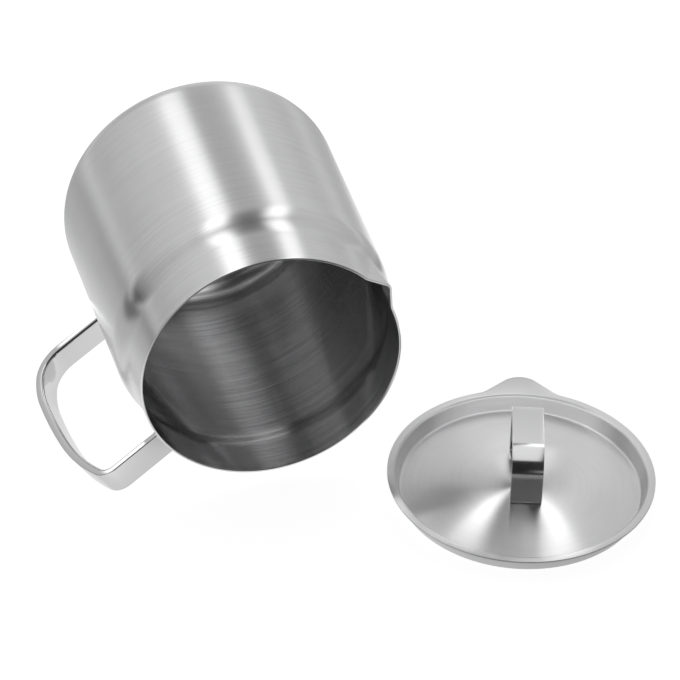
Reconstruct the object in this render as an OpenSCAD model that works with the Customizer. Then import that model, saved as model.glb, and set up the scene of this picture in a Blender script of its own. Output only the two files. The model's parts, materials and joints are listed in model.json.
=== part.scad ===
// Grease jug of drawn stainless steel, lying on its side beside its lid.
// The jug and the lid are each built upright in their own frame, then laid on the
// ground plane where they rest. All lengths are in millimetres, all angles in degrees.

/* [Jug shell] */
// Thickness of the drawn sheet
wall = 0.8; // [0.5:0.05:1.2]
// Height of the jug, bottom to rim
jug_h = 130.4; // [126:0.2:150]
// Radius of the wall where it leaves the bottom corner
wall_r = 61.25; // [60:0.05:70]
// How much narrower the wall is below the shoulder
wall_taper = 2; // [1:0.05:4]
// Height of the neck, from the shoulder to the rim
neck_h = 15.9; // [12:0.1:24]
// Height that the shoulder takes up
shoulder_h = 16; // [12:0.5:20]
// How far the shoulder draws the wall in
shoulder_in = 3.55; // [2.5:0.05:6]
// How far the neck draws in toward the rim
neck_in = 1; // [0.4:0.05:2]
// Radius of the rounded bottom corner
corner_r = 12; // [6:0.5:16]

/* [Pouring lip] */
// How far the lip's tip stands out of the rim
lip_out = 4.25; // [2:0.05:6]
// Height of the lip, from where it leaves the neck to the rim
lip_h = 22.4; // [14:0.2:26]
// Half of the angle between the lip's two flanks
lip_half_angle = 61; // [45:1:70]
// Radius that rounds the lip's tip
lip_tip_r = 2.4; // [1.2:0.1:4]
// Turn of the lip away from the line opposite the handle
lip_turn = -0.4; // [-5:0.1:5]

/* [Jug handle] */
// Width of the strap
strap_w = 11.9; // [8:0.1:16]
// Thickness of the strap
strap_t = 3.6; // [2.6:0.1:5]
// Radius of the strap's edges
strap_edge_r = 0.9; // [0.3:0.05:1.2]
// Height of the lower arm's middle at the wall
arm_z = 41.3; // [30:0.2:60]
// How far the lower arm's straight runs out
arm_run = 23.3; // [18:0.1:30]
// Slope of the lower arm
arm_slope = 4.8; // [0:0.2:10]
// Bend radius of the lower corner
low_bend_r = 14; // [8:0.5:20]
// Bend radius of the upper corner
high_bend_r = 7.5; // [5:0.5:10]
// How far the middle of the upper arm's end lies below the rim
arm_below_rim = 2.2; // [2:0.1:6]
// Leg of the weld bead round each arm's end
bead_leg = 0.7; // [0.4:0.05:1.2]

/* [Lid pan] */
// Thickness of the lid's sheet
lid_wall = 0.7; // [0.5:0.05:1]
// How far the lid's flange stands out past the rim that it covers
flange_over = 1.1; // [0.5:0.1:4]
// Width of the flange
flange_w = 3.1; // [2:0.1:3.4]
// Depth from the flange's top to the ground
lid_h = 8.5; // [6:0.1:12]
// Gap between the plug's bottom and the inside of the rim
plug_gap = 2.3; // [1.5:0.1:4]
// Radius of the bend at the plug's bottom, outside
plug_bend_r = 1.8; // [1:0.1:2.5]
// Radius of the bend under the flange, outside
flange_bend_r = 0.6; // [0.4:0.1:1.6]
// Rise of the domed floor at its middle
dome_h = 1.6; // [0.5:0.1:3]
// How far the tab's tip stands out past the lip's tip
tab_over = 6.25; // [3:0.05:10]
// Radius of the tab's tip
tab_tip_r = 9.5; // [6:0.5:12]
// Half of the tab's width where it leaves the flange
tab_half_w = 16; // [14:0.5:22]

/* [Lid handle] */
// Width of the lid's strap
loop_w = 13.2; // [10:0.1:18]
// Thickness of the lid's strap
loop_t = 1; // [0.8:0.05:1.5]
// Height of the strap's top above the ground
loop_top = 27; // [20:0.5:34]
// Length of the strap over its two legs
loop_l = 35.5; // [30:0.5:44]
// Bend radius of the front corner, outside
front_bend_r = 12; // [8:0.5:14]
// Bend radius of the back corner, outside
back_bend_r = 3.2; // [2.4:0.1:6]
// Length of each foot, from the outside of its leg
foot_l = 7; // [5:0.5:10]
// How far the strap's middle lies toward the tab from the lid's middle
loop_forward = 4.95; // [0:0.1:6]
// How far the strap lies to the side of the tab's line
loop_side = -2.1; // [-4:0.1:4]

/* [Resting places] */
// Place of the lid's middle to the right of the jug's bottom centre
lid_x = 97.98; // [92:0.5:130]
// Distance of the lid's middle in front of the jug's rim
lid_from_rim = 33.23; // [24:0.5:60]
// Turn of the lid's tab, from straight back toward the right
tab_turn = 19; // [0:1:40]

/* [Hidden] */
$fn = 96;
// Shares of a bend's turn at which an outline has its points
bend_shares = [for (i = [0:8]) i / 8];
// Overrun of every cut past the surface that it leaves
over = 1;
// Turns along the handle, in order: lower corner, easing, grip, upper grip, upper corner
handle_turns = [68, 20, 7.7, 20, 65.6];
// Bend radii of the grip's three stretches, as shares of its scale, which the arms' heights set
bow_shares = [0.54, 2.76, 1.02];

// Radii of the shell where the wall, the shoulder and the neck end
shoulder_r = wall_r - wall_taper;
neck_r = shoulder_r - shoulder_in;
rim_r = neck_r - neck_in;
shoulder_z = jug_h - neck_h - shoulder_h;
// Sizes of the lid, which the rim and the lip set
flange_r = rim_r + flange_over;
plug_r = rim_r - wall - plug_gap;
tab_reach = rim_r + lip_out + tab_over;

// The wall's draft lets the shell lie on one straight line of its cone
wall_run = shoulder_z - corner_r;
draft = atan((wall_r - shoulder_r) / wall_run);
// Height of the jug's bottom centre above the ground when it lies on its wall
base_centre_z = wall_r * cos(draft) + corner_r * sin(draft);

// A point at a radius and an angle round a centre
function polar(centre, r, a) = centre + r * [cos(a), sin(a)];
// Points of an arc round a centre, from one angle to another
function arc(centre, r, a0, a1) = [for (s = bend_shares) polar(centre, r, a0 + (a1 - a0) * s)];

// The shoulder is two equal arcs that meet halfway, so it leaves the wall and meets the neck smoothly
shoulder_arc_r = (shoulder_h * shoulder_h + shoulder_in * shoulder_in) / (4 * shoulder_in);
shoulder_arc_a = asin(shoulder_h / 2 / shoulder_arc_r);
function shoulder(inset) = concat(
    arc([shoulder_r - shoulder_arc_r, shoulder_z], shoulder_arc_r - inset, 0, shoulder_arc_a),
    arc([neck_r + shoulder_arc_r, shoulder_z + shoulder_h], shoulder_arc_r + inset,
        180 + shoulder_arc_a, 180));

// Half section of the solid that an inset skin of the jug encloses, open past the rim by a length
function jug_outline(inset, past) = concat(
    [[0, inset]],
    arc([wall_r - corner_r, corner_r], corner_r - inset, -90, 0),
    shoulder(inset),
    [[rim_r - inset, jug_h], [rim_r - inset, jug_h + past], [0, jug_h + past]]);

module jug_solid(inset, past) {
    rotate_extrude() polygon(jug_outline(inset, past));
}

// Lean of the lip's spine, from where it leaves the neck to its tip at the rim
lip_foot_r = neck_r - lip_tip_r * (1 / sin(lip_half_angle) - 1) / 2;
lip_lean = atan((rim_r + lip_out - lip_foot_r) / lip_h);

// Flat section of the lip: two straight flanks that touch a round tip, with its tip at the origin
module lip_section(inset) {
    r = lip_tip_r - inset;
    back = 3 * lip_out;
    touch = polar([-lip_tip_r, 0], r, 90 - lip_half_angle);
    half_w = touch[1] + (back + touch[0]) * tan(lip_half_angle);
    translate([-lip_tip_r, 0]) circle(r);
    polygon([[-back, -half_w], [touch[0], -touch[1]], touch, [-back, half_w]]);
}

// The lip as a leaning bar that only clears the neck above the lip's foot
module lip_bar(inset, past) {
    intersection() {
        translate([lip_foot_r, 0, jug_h - lip_h]) rotate([0, lip_lean, 0])
            translate([0, 0, -lip_h]) linear_extrude(3 * lip_h) lip_section(inset);
        translate([0, 0, jug_h - lip_h]) cylinder(h = lip_h + past, r = rim_r + 2 * lip_out);
    }
}

module jug_body() {
    color("silver") difference() {
        union() {
            jug_solid(0, 0);
            rotate([0, 0, lip_turn]) lip_bar(0, 0);
        }
        jug_solid(wall, over);
        rotate([0, 0, lip_turn]) lip_bar(wall, over);
    }
}

// The handle is a chain of straights and bends in one plane, laid from the lower arm to the neck.
// A step is [x, z, heading] in that plane.
function bend_centre(p, r) = [p[0] - r * sin(p[2]), p[1] + r * cos(p[2])];
function after_straight(p, l) = [p[0] + l * cos(p[2]), p[1] + l * sin(p[2]), p[2]];
function after_bend(p, r, a) =
    let (c = bend_centre(p, r), h = p[2] + a) [c[0] + r * sin(h), c[1] - r * cos(h), h];

// Radius of the shell's outside at a height on the wall, and at a height on the neck
function wall_at(z) = wall_r - (z - corner_r) * tan(draft);
function neck_at(z) = rim_r + (neck_r - rim_r) * (jug_h - z) / neck_h;
// How far a bend of unit radius runs out and rises, from its start's heading to its end's
function bend_run(h0, h1) = [sin(h1) - sin(h0), cos(h0) - cos(h1)];

// Each arm's middle line is cut a strap's thickness inside the shell
arm_start = [wall_at(arm_z) - strap_t, arm_z - strap_t * tan(arm_slope), arm_slope];
arm_length = arm_run + strap_t / cos(arm_slope);
high_arm_z = jug_h - arm_below_rim;
high_arm_r = neck_at(high_arm_z);
// Heading before each bend and after the last
headings = [for (i = 0, h = arm_slope; i <= len(handle_turns); h = h + (i < len(handle_turns)
    ? handle_turns[i] : 0), i = i + 1) h];
high_slope = tan(headings[len(handle_turns)]);
// Run and rise of the arms' corners, and of a grip whose scale is one millimetre
corners = low_bend_r * bend_run(headings[0], headings[1])
    + high_bend_r * bend_run(headings[4], headings[5]);
bow = bow_shares[0] * bend_run(headings[1], headings[2]) + bow_shares[1] * bend_run(headings[2], headings[3])
    + bow_shares[2] * bend_run(headings[3], headings[4]);
arm_end = after_straight(arm_start, arm_length);
// The grip's scale brings the upper arm to the neck at its height below the rim
bow_scale = (high_arm_z - arm_end[1] - corners[1] + (arm_end[0] + corners[0] - high_arm_r) * high_slope)
    / (bow[1] - bow[0] * high_slope);
handle_radii = concat(low_bend_r, bow_scale * bow_shares, high_bend_r);
function step_at(i) = i == 0 ? arm_end : after_bend(step_at(i - 1), handle_radii[i - 1], handle_turns[i - 1]);
handle_end = step_at(len(handle_turns));
high_arm_length = handle_end[0] - high_arm_r + strap_t;

// Steps along the strap between its two ends, each bend shared out evenly
bend_steps = [10, 5, 5, 5, 12];
function strap_steps() = concat([arm_start], [for (i = [0:len(handle_turns) - 1], k = [0:bend_steps[i] - 1])
    after_bend(step_at(i), handle_radii[i], handle_turns[i] * k / bend_steps[i])],
    [handle_end, after_straight(handle_end, high_arm_length)]);

// Cross-section of the strap as [half thickness, width] from one edge to the other
edge_angles = [for (a = [0:30:90]) a];
strap_core = [strap_t / 2 - strap_edge_r, strap_w / 2 - strap_edge_r];
strap_half = concat(
    [for (a = edge_angles) [strap_core[0] + strap_edge_r * sin(a), -strap_core[1] - strap_edge_r * cos(a)]],
    [for (s = [-1 / 2, 0, 1 / 2]) [strap_t / 2, s * strap_core[1]]],
    [for (i = [len(edge_angles) - 1:-1:0]) let (a = edge_angles[i])
        [strap_core[0] + strap_edge_r * sin(a), strap_core[1] + strap_edge_r * cos(a)]]);
strap_ring = concat(strap_half, [for (i = [len(strap_half) - 1:-1:0]) [-strap_half[i][0], strap_half[i][1]]]);

// Places of the ring's points at a step of the strap
function ring_at(p) = [for (q = strap_ring) [p[0] + q[0] * sin(p[2]), q[1], p[1] - q[0] * cos(p[2])]];
// A ring slid along its arm until each of its points lies on the shell
function seated(ring, p, high) = [for (q = ring)
    let (r = high ? neck_at(q[2]) : wall_at(q[2]), x = sqrt(r * r - q[1] * q[1]))
    [x, q[1], q[2] + (x - q[0]) * tan(p[2])]];

// The strap as one swept skin, closed by bands across its two seated ends
module strap() {
    steps = strap_steps();
    last = len(steps) - 1;
    n = len(strap_ring);
    half = len(strap_half);
    rings = [for (i = [0:last]) let (ring = ring_at(steps[i]))
        i == 0 ? seated(ring, steps[0], false) : i == last ? seated(ring, steps[last], true) : ring];
    sides = [for (i = [0:last - 1], k = [0:n - 1]) let (a = i * n + k, b = i * n + (k + 1) % n)
        each [[a, a + n, b], [b, a + n, b + n]]];
    caps = [for (k = [0:half - 2]) let (a = k, b = k + 1, c = n - 2 - k, d = n - 1 - k, t = last * n)
        each [[a, b, c], [a, c, d], [b + t, a + t, c + t], [c + t, a + t, d + t]]];
    polyhedron([for (ring = rings) each ring], concat(sides, caps));
}

module jug_handle() {
    color("lightgray") rotate([0, 0, 180]) strap();
}

// A straight of the strap from a step, grown all round by a margin
module strap_straight(p, l, margin) {
    size = [strap_t + 2 * margin, strap_w + 2 * margin];
    r = strap_edge_r + margin;
    translate([p[0], 0, p[1]]) rotate([0, 90 - p[2], 0]) linear_extrude(l) {
        square([size[0], size[1] - 2 * r], center = true);
        square([size[0] - 2 * r, size[1]], center = true);
        for (x = [-1, 1], y = [-1, 1]) translate([x * (size[0] / 2 - r), y * (size[1] / 2 - r)]) circle(r);
    }
}

// A bead of weld fills the corner between an arm's end and the shell
module bead(p, l) {
    color("gainsboro") difference() {
        intersection() {
            rotate([0, 0, 180]) strap_straight(p, l, bead_leg);
            jug_solid(-bead_leg, 0);
        }
        rotate([0, 0, 180]) strap_straight(p, l, 0);
        jug_solid(0, over);
    }
}

module base_arm_weld() {
    bead(arm_start, arm_length);
}

module mouth_arm_weld() {
    bead(handle_end, high_arm_length);
}

// Half section of the lid's sheet, its top side and its underside a sheet apart
plug_lean = atan((flange_r - flange_w - plug_r) / (lid_h - lid_wall));
floor_r = plug_r - plug_bend_r - lid_wall;
function pan_side(inset) =
    let (low = [plug_r - plug_bend_r, plug_bend_r],
         high = [flange_r - flange_w + flange_bend_r, lid_h - lid_wall - flange_bend_r])
    concat([[flange_r, lid_h - lid_wall + inset]],
           arc(high, flange_bend_r + inset, 90, 180 - plug_lean),
           arc(low, plug_bend_r - inset, -plug_lean, -90));
dome_r = (floor_r * floor_r + dome_h * dome_h) / (2 * dome_h);
dome_a = asin(floor_r / dome_r);
function dome(inset) = [for (s = bend_shares)
    let (a = dome_a * (1 - s)) [dome_r * sin(a), dome_r * (cos(a) - cos(dome_a)) + inset]];
function floor_top(r) = sqrt(dome_r * dome_r - r * r) - dome_r * cos(dome_a) + lid_wall;
function backward(v) = [for (i = [len(v) - 1:-1:0]) v[i]];

module lid_tab() {
    tip = tab_reach - tab_tip_r;
    root = [sqrt(flange_r * flange_r - tab_half_w * tab_half_w), tab_half_w];
    gap = norm(root - [tip, 0]);
    turn = atan2(root[1], root[0] - tip) - acos(tab_tip_r / gap);
    touch = polar([tip, 0], tab_tip_r, turn);
    inner = root + (root - touch) * flange_w / 3 / norm(root - touch);
    translate([0, 0, lid_h - lid_wall]) linear_extrude(lid_wall) difference() {
        union() {
            translate([tip, 0]) circle(tab_tip_r);
            polygon([[0, 0], [inner[0], -inner[1]], [touch[0], -touch[1]], touch, inner]);
        }
        circle(flange_r - flange_w / 2);
    }
}

module lid_pan() {
    color("silver") {
        rotate_extrude() polygon(concat(pan_side(0), dome(0), backward(dome(lid_wall)),
                                        backward(pan_side(lid_wall))));
        lid_tab();
    }
}

// The lid's handle in side view: two legs, a large front bend, a small back bend, two feet turned in
function loop_outline(inset) =
    let (lo = loop_foot_z + inset, hi = loop_top - inset, f = -loop_l / 2 + inset, b = loop_l / 2 - inset,
         fr = front_bend_r - inset, br = back_bend_r - inset)
    concat([[f, lo]], arc([f + fr, hi - fr], fr, 180, 90), arc([b - br, hi - br], br, 90, 0), [[b, lo]]);
loop_foot_z = floor_top(loop_forward + loop_l / 2);

module loop_side_view() {
    difference() {
        polygon(loop_outline(0));
        polygon(loop_outline(loop_t));
        translate([-loop_l / 2 + foot_l, loop_foot_z - over]) square([loop_l - 2 * foot_l, loop_t + 2 * over]);
    }
}

module lid_handle() {
    color("lightgray") difference() {
        translate([loop_forward, loop_side, 0]) rotate([90, 0, 0])
            linear_extrude(loop_w, center = true) loop_side_view();
        rotate_extrude() polygon(concat([[0, 0], [floor_r, 0]], dome(lid_wall)));
    }
}

// The jug's own frame has its axis up and its lip toward +X. Laid down, its axis points to -Y and
// slopes by the draft, and it rolls toward its handle until the strap's edge meets the ground.
grip_bend_centre = bend_centre(step_at(1), handle_radii[1]);
grip_out = grip_bend_centre[0] + handle_radii[1] + strap_t / 2;
grip_core = [grip_out - strap_edge_r, strap_w / 2 - strap_edge_r];
grip_axis_z = base_centre_z - grip_bend_centre[1] * sin(draft);
handle_roll = asin((grip_axis_z - strap_edge_r) / norm(grip_core)) - atan2(grip_core[1], grip_core[0]);

// The whole is centred over the origin
low_x = -grip_core[0] * cos(handle_roll) - grip_core[1] * sin(handle_roll) - strap_edge_r;
high_x = lid_x + flange_r;
high_y = (wall_r - corner_r) * sin(draft) + corner_r * (1 - cos(draft));
lid_ahead = jug_h + lid_from_rim;
low_y = -lid_ahead - flange_r;
jug_x = -(low_x + high_x) / 2;
jug_y = -(low_y + high_y) / 2;

module laid_jug() {
    translate([jug_x, jug_y, base_centre_z]) rotate([90 + draft, 0, 0])
        rotate([0, 0, handle_roll]) children();
}

module laid_lid() {
    translate([jug_x + lid_x, jug_y - lid_ahead, 0]) rotate([0, 0, 90 - tab_turn]) children();
}

laid_jug() jug_body();
laid_jug() jug_handle();
laid_jug() base_arm_weld();
laid_jug() mouth_arm_weld();
laid_lid() lid_pan();
laid_lid() lid_handle();
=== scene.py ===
"""Looks of a stainless steel grease jug that lies on its side beside its lid.

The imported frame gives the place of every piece. Each piece is built upright in its own frame,
from a side section, a path or rows of points, then laid where the frame has it. Sizes of the
steel are in millimetres, places in the studio are in metres, and angles are in degrees unless a
name or a comment says otherwise.
"""

from __future__ import annotations

import json
import logging
import math
from dataclasses import dataclass, field
from enum import Enum
from typing import Iterable, Sequence, Union

import bmesh
import bpy
from mathutils import Matrix, Vector

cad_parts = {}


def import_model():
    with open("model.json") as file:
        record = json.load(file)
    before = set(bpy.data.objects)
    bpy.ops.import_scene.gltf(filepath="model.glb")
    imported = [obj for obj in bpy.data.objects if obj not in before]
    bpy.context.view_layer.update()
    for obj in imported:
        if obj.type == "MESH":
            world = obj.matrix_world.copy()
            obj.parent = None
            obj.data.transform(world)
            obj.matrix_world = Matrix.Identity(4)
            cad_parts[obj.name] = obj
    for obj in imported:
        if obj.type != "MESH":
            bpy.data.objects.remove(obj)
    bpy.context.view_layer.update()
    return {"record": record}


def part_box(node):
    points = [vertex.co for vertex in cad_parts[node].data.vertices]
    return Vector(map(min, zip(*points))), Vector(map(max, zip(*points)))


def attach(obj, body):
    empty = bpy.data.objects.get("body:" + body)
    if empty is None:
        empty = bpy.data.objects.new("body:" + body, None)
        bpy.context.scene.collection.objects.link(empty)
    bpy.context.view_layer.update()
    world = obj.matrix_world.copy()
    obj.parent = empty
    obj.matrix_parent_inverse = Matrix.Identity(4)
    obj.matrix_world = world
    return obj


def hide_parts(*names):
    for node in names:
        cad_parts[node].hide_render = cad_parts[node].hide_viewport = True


LOG = logging.getLogger("grease_jug")
MM = 0.001
BRUSH = "brush"
PHOTO_SIDE = 680
ROUND_SEGMENTS = 360
EDGE_STEPS = 6
WHITE = (1, 1, 1, 1)
# Points of a section that are closer than this, in millimetres, are one
SAME_PLACE = 1e-5
# Points of a mesh that are closer than these, in metres, are one
SHEET_MERGE = 1e-6
BEAD_MERGE = 2e-6
# The skin number past which a face takes the inside's material
INNER_SKIN = 0.6

Point = tuple[float, float]
Place = tuple[float, float, float]
Band = tuple[Point, ...]
Value = Union[float, bpy.types.NodeSocket]


class Slot(Enum):
    """Names of the record's material slots, kept with each piece; the finishes come from FINISHES, not from
    these.
    """

    SHELL = "brushed_shell"
    LID = "spun_lid"
    STRAP = "polished_strap"


# Sizes


@dataclass(frozen=True)
class JugSize:
    """Sizes of the jug's shell, and the steps that its section is drawn in."""

    wall: float = 0.8
    height: float = 130.4
    wall_r: float = 61.25
    shoulder_r: float = 59.25
    shoulder_z: float = 98.5
    shoulder_h: float = 16.0
    neck_r: float = 55.7
    rim_r: float = 54.7
    corner_r: float = 12.0
    lip_out: float = 4.25
    lip_z: float = 108.0
    lip_half_angle: float = 61.0
    lip_tip_r: float = 2.4
    lip_turn: float = -0.4
    lip_softness: float = 0.7
    lip_soft_rise: float = 1.6
    rim_edge: float = 0.12
    floor_step: float = 6.0
    corner_step: float = 7.0
    wall_step: float = 7.0
    shoulder_step: float = 2.2
    neck_step: float = 1.2
    rim_step: float = 30.0

    @property
    def draft(self) -> float:
        """Lean of the wall, in radians."""
        return math.atan((self.wall_r - self.shoulder_r) / (self.shoulder_z - self.corner_r))


@dataclass(frozen=True)
class StrapSize:
    """Sizes of the jug's handle and of the beads that hold it."""

    width: float = 11.9
    thick: float = 3.6
    inner_edge: float = 1.6
    outer_edge: float = 0.5
    start: Point = (60.0, 41.25)
    slope: float = 4.8
    run: float = 23.88
    radii: tuple[float, ...] = (14.0, 45.0, 230.0, 85.0, 7.5)
    turns: tuple[float, ...] = (68.0, 20.0, 7.7, 20.0, 65.6)
    end_r: float = 54.35
    roll: float = 33.7
    bead: float = 0.65
    bead_corner: float = 0.9
    bead_root: float = 0.05
    bead_rim_gap: float = 0.02
    bead_steps: int = 7
    bead_corner_steps: int = 6


@dataclass(frozen=True)
class LidSize:
    """Sizes of the lid's pan and tab, and the steps that its section is drawn in."""

    sheet: float = 0.7
    flange_r: float = 55.8
    flange_w: float = 3.1
    height: float = 8.5
    plug_r: float = 51.6
    plug_bend: float = 1.8
    flange_bend: float = 0.6
    dome: float = 1.6
    tab_reach: float = 65.2
    tab_tip_r: float = 9.5
    tab_half_angle: float = 46.0
    tab_softness: float = 1.6
    tab_start_share: float = 0.62
    turn: float = 71.0
    edge: float = 0.14
    bend_step: float = 9.0
    plug_step: float = 1.5
    edge_step: float = 22.5
    dome_steps: int = 26

    @property
    def floor_r(self) -> float:
        """Radius of the domed floor."""
        return self.plug_r - self.plug_bend - self.sheet

    @property
    def dome_r(self) -> float:
        """Radius of the ball that the floor is a cap of."""
        return (self.floor_r ** 2 + self.dome ** 2) / (2 * self.dome)

    @property
    def tab_start_r(self) -> float:
        """Radius of the flange where the tab starts to be pulled out."""
        return self.flange_r - self.tab_start_share * self.flange_w


@dataclass(frozen=True)
class LoopSize:
    """Sizes of the lid's handle, and its place on the lid."""

    width: float = 13.2
    thick: float = 1.0
    edge: float = 0.22
    top: float = 27.0
    length: float = 35.5
    front_bend: float = 12.0
    back_bend: float = 3.2
    foot_bend: float = 1.5
    foot: float = 7.0
    foot_gap: float = 0.12
    forward: float = 4.95
    side: float = -2.1


@dataclass(frozen=True)
class CameraFit:
    """The photograph's camera.

    Its place is in millimetres from the floor under the jug's bottom centre. Its azimuth goes from
    +Y towards +X, and its roll is positive where the right of the picture goes up.
    """

    offset: Place = (-224.81, -968.80, 728.04)
    azimuth: float = 16.82
    look_down: float = 37.041
    roll: float = 0.905
    lens: float = 142.93
    sensor: float = 36.0
    shift_px: float = 0.5
    near_m: float = 0.05
    far_m: float = 20.0


# Helpers for node trees


class Tree:
    """A thin helper that adds nodes to a node tree and links them.

    Args:
        tree: The node tree to fill.
    """

    def __init__(self, tree: bpy.types.NodeTree) -> None:
        """Keeps the tree."""
        self.tree = tree

    def add(self, kind: str, props: dict[str, object] | None = None, **values: object) -> bpy.types.Node:
        """Adds a node.

        Args:
            kind: The node's type name.
            props: Attributes set on the node itself.
            values: Sockets by name with blanks as underscores, or by index as i0, i1. A socket is linked.

        Returns:
            The new node.
        """
        node = self.tree.nodes.new(kind)
        for key, value in (props or {}).items():
            setattr(node, key, value)
        for key, value in values.items():
            self.set(self.pick(node, key), value)
        return node

    @staticmethod
    def pick(node: bpy.types.Node, key: str) -> bpy.types.NodeSocket:
        """Finds an enabled input.

        Args:
            node: The node.
            key: The input's index as i0, i1, or its name with blanks as underscores.

        Returns:
            The input.
        """
        if key[0] == "i" and key[1:].isdigit():
            return node.inputs[int(key[1:])]
        name = key.replace("_", " ")
        return next(s for s in node.inputs if s.name == name and s.enabled)

    def set(self, socket: bpy.types.NodeSocket, value: object) -> None:
        """Fills an input.

        Args:
            socket: The input.
            value: A socket to link it to, or its value.
        """
        if isinstance(value, bpy.types.NodeSocket):
            self.tree.links.new(value, socket)
        else:
            socket.default_value = value

    def math(self, op: str, a: Value, b: Value = 0.0, c: Value = 0.0) -> bpy.types.NodeSocket:
        """Adds a math node and returns its output."""
        return self.add("ShaderNodeMath", {"operation": op}, i0=a, i1=b, i2=c).outputs[0]

    def rest(self, value: Value) -> bpy.types.NodeSocket:
        """One minus a value."""
        return self.math("SUBTRACT", 1.0, value)

    def mix(self, share: Value, low: Value, high: Value) -> bpy.types.NodeSocket:
        """Goes from one value to another as a share goes from 0 to 1."""
        kept = self.math("MULTIPLY", low, self.rest(share))
        return self.math("ADD", self.math("MULTIPLY", high, share), kept)

    def ramp(self, value: Value, start: float, end: float, first: float = 0.0,
             last: float = 1.0) -> bpy.types.NodeSocket:
        """Maps a value smoothly from one range to another.

        Args:
            value: What is mapped.
            start: Where the result is the first one.
            end: Where the result is the last one.
            first: Result at the start and before it.
            last: Result at the end and past it.

        Returns:
            The result.
        """
        node = self.add("ShaderNodeMapRange", {"interpolation_type": "SMOOTHSTEP"}, Value=value)
        for name, number in (("From Min", start), ("From Max", end), ("To Min", first), ("To Max", last)):
            node.inputs[name].default_value = number
        return node.outputs["Result"]


def blank_material(name: str) -> tuple[bpy.types.Material, Tree]:
    """Makes a material with no nodes yet.

    Args:
        name: Its name.

    Returns:
        The material and the helper that fills it.
    """
    material = bpy.data.materials.new(name)
    material.use_nodes = True
    material.node_tree.nodes.clear()
    return material, Tree(material.node_tree)


def shape_group(name: str, inputs: Iterable[tuple[str, str]]) -> tuple[Tree, dict[str, str]]:
    """Starts a geometry node group that takes and gives geometry.

    Args:
        name: Name of the group.
        inputs: The name and socket type of each further input.

    Returns:
        The helper that fills the group, and the inputs' identifiers by name.
    """
    group = bpy.data.node_groups.new(name, "GeometryNodeTree")
    group.is_modifier = True
    ids = {}
    for label, kind in (("Geometry", "NodeSocketGeometry"), *inputs):
        ids[label] = group.interface.new_socket(label, in_out="INPUT", socket_type=kind).identifier
    group.interface.new_socket("Geometry", in_out="OUTPUT", socket_type="NodeSocketGeometry")
    return Tree(group), ids


# Points of sections and paths


@dataclass
class Section:
    """A side section as points, each with the lip's or tab's reach and the skin it belongs to."""

    points: list[Point] = field(default_factory=list)
    reach: list[float] = field(default_factory=list)
    inside: list[float] = field(default_factory=list)

    def extend(self, points: Iterable[Point], inside: float) -> None:
        """Adds points that lie on one skin, and leaves out one that is there already.

        Args:
            points: The points, as radius and height.
            inside: 1 on the inner skin and 0 on the outer one.
        """
        for point in points:
            if self.points and math.dist(point, self.points[-1]) < SAME_PLACE:
                continue
            self.points.append(point)
            self.reach.append(0.0)
            self.inside.append(inside)

    def mesh(self, name: str, soft: Sequence[float]) -> bpy.types.Mesh:
        """Makes the mesh that the lathe tree starts from.

        Args:
            name: Name of the mesh.
            soft: For each point, the share of its softness that the pulled lip has there.

        Returns:
            The section as a chain of edges, with what the lathe tree reads on its points.
        """
        mesh = curve_mesh(name, [(r * MM, 0, z * MM) for r, z in self.points])
        along, total = [0.0], 0.0
        for a, b in zip(self.points, self.points[1:]):
            total += math.dist(a, b) * MM
            along.append(total)
        reach = [v * MM for v in self.reach]
        for label, values in (("along", along), ("reach", reach), ("inside", self.inside), ("soft", soft)):
            mesh.attributes.new(label, "FLOAT", "POINT").data.foreach_set("value", list(values))
        return mesh


def arc(cx: float, cz: float, r: float, first: float, last: float, step: float) -> list[Point]:
    """Draws an arc in a side section.

    Args:
        cx: Radius of its centre.
        cz: Height of its centre.
        r: Its own radius.
        first: Angle of its first point.
        last: Angle of its last point.
        step: Angle between points, about.

    Returns:
        The points.
    """
    n = max(2, round(abs(last - first) / step))
    turns = [math.radians(first + (last - first) * i / n) for i in range(n + 1)]
    return [(cx + r * math.cos(t), cz + r * math.sin(t)) for t in turns]


def line(a: Sequence[float], b: Sequence[float], step: float) -> list[Point]:
    """Draws a straight.

    Args:
        a: First point.
        b: Last point.
        step: The most that points are apart.

    Returns:
        The points.
    """
    n = max(1, math.ceil(math.dist(a, b) / step))
    return [(a[0] + (b[0] - a[0]) * i / n, a[1] + (b[1] - a[1]) * i / n) for i in range(n + 1)]


def walk(start: Point, heading: float, steps: Iterable[tuple[float, float]], fineness: float = 2.5,
         least: int = 4) -> list[Point]:
    """Draws a path made of straights and bends.

    Args:
        start: First point.
        heading: First heading.
        steps: Each a length with a turn of zero, or a bend's radius and its turn.
        fineness: Angle between points of a bend, about.
        least: The fewest steps in a bend.

    Returns:
        The points, with no two at one place.
    """
    x, z = start
    h = math.radians(heading)
    out = [(x, z)]
    for size, turn in steps:
        if turn == 0:
            x, z = x + size * math.cos(h), z + size * math.sin(h)
            out.append((x, z))
            continue
        n = max(least, round(abs(turn) / fineness))
        side = math.copysign(1, turn)
        cx, cz = x - side * size * math.sin(h), z + side * size * math.cos(h)
        for i in range(1, n + 1):
            a = h + math.radians(turn) * i / n
            out.append((cx + side * size * math.sin(a), cz - side * size * math.cos(a)))
        x, z = out[-1]
        h += math.radians(turn)
    return out


# Meshes


def link(obj: bpy.types.Object) -> bpy.types.Object:
    """Puts an object in the scene and returns it."""
    bpy.context.scene.collection.objects.link(obj)
    return obj


def curve_mesh(name: str, points: Sequence[Sequence[float]]) -> bpy.types.Mesh:
    """Makes a chain of edges.

    Args:
        name: Name of the mesh.
        points: Its points in order, in metres.

    Returns:
        The mesh.
    """
    mesh = bpy.data.meshes.new(name)
    mesh.from_pydata([Vector(p) for p in points], [(i, i + 1) for i in range(len(points) - 1)], [])
    return mesh


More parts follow.
